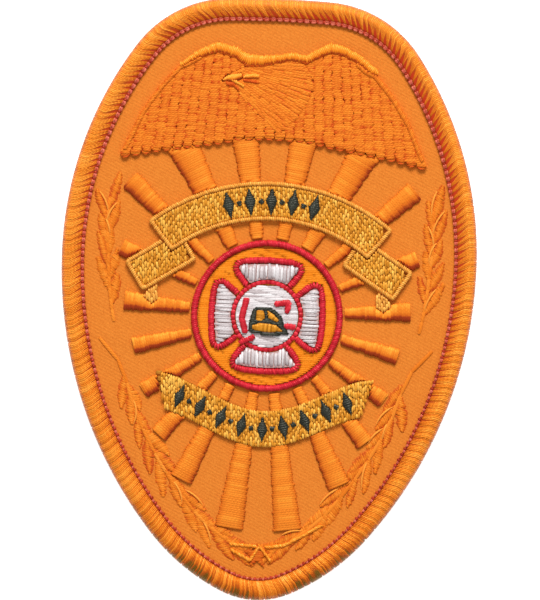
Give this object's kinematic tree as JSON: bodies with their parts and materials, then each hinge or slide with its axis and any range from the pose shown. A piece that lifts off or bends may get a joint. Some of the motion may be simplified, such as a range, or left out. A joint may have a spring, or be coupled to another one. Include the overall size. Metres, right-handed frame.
{
  "type": "embroidered badge patch",
  "caption": "Egg-shaped embroidered cloth patch with an overlocked border, an eagle over a sunburst, two scrolls, a cross medallion and leaf sprays",
  "frame": {"origin": "on the underside, at the middle of the patch's width and height", "axes": "+X to the right of the face, +Y up to the eagle, +Z out of the face"},
  "size_m": [0.0636, 0.092, 0.003],
  "materials": {
    "twill": "cotton and polyester twill, matte",
    "border_thread": "rayon overlock thread, soft sheen",
    "orange_thread": "rayon embroidery thread, satin sheen",
    "ground_thread": "rayon embroidery thread, satin sheen",
    "gold_thread": "rayon embroidery thread, satin sheen",
    "light_gold_thread": "rayon embroidery thread, satin sheen",
    "red_thread": "rayon embroidery thread, satin sheen",
    "white_thread": "rayon embroidery thread, satin sheen",
    "black_thread": "rayon embroidery thread, satin sheen"
  },
  "bodies": {
    "root": {"ground_twill": "twill", "merrow_border": "border_thread", "eagle_wing_right": "orange_thread", "eagle_wing_left": "orange_thread", "eagle_head": "orange_thread", "base_star": "orange_thread", "eagle_beak": "light_gold_thread", "eagle_brow": "light_gold_thread", "eagle_crest": "light_gold_thread", "scroll_upper": "gold_thread", "scroll_lower": "gold_thread", "scroll_tail_right": "gold_thread", "scroll_tail_left": "gold_thread", "scroll_fold_right": "gold_thread", "scroll_fold_left": "gold_thread", "scroll_upper_edge": "light_gold_thread", "scroll_tail_edge_right": "light_gold_thread", "scroll_tail_edge_left": "light_gold_thread", "scroll_upper_marks": "black_thread", "scroll_lower_marks": "black_thread", "medallion_field": "orange_thread", "medallion_ring": "red_thread", "cross_outline": "red_thread", "cross_arm_top": "white_thread", "cross_arm_right": "white_thread", "cross_arm_bottom": "white_thread", "cross_arm_left": "white_thread", "hub_disc": "white_thread", "helmet_outline": "black_thread", "helmet_panels": "gold_thread", "helmet_tools": "red_thread", "spray_upper_right": "ground_thread", "spray_upper_left": "ground_thread", "spray_lower_right": "ground_thread", "spray_lower_left": "ground_thread", "ray_01": "orange_thread", "ray_02": "orange_thread", "ray_03": "orange_thread", "ray_04": "orange_thread", "ray_05": "orange_thread", "ray_06": "orange_thread", "ray_07": "orange_thread", "ray_08": "orange_thread", "ray_09": "orange_thread", "ray_10": "orange_thread", "ray_11": "orange_thread", "ray_12": "orange_thread", "ray_13": "orange_thread", "ray_14": "orange_thread", "ray_15": "orange_thread", "ray_16": "orange_thread", "ray_17": "orange_thread", "ray_18": "orange_thread", "ray_19": "orange_thread", "ray_20": "orange_thread"}
  },
  "joints": []
}
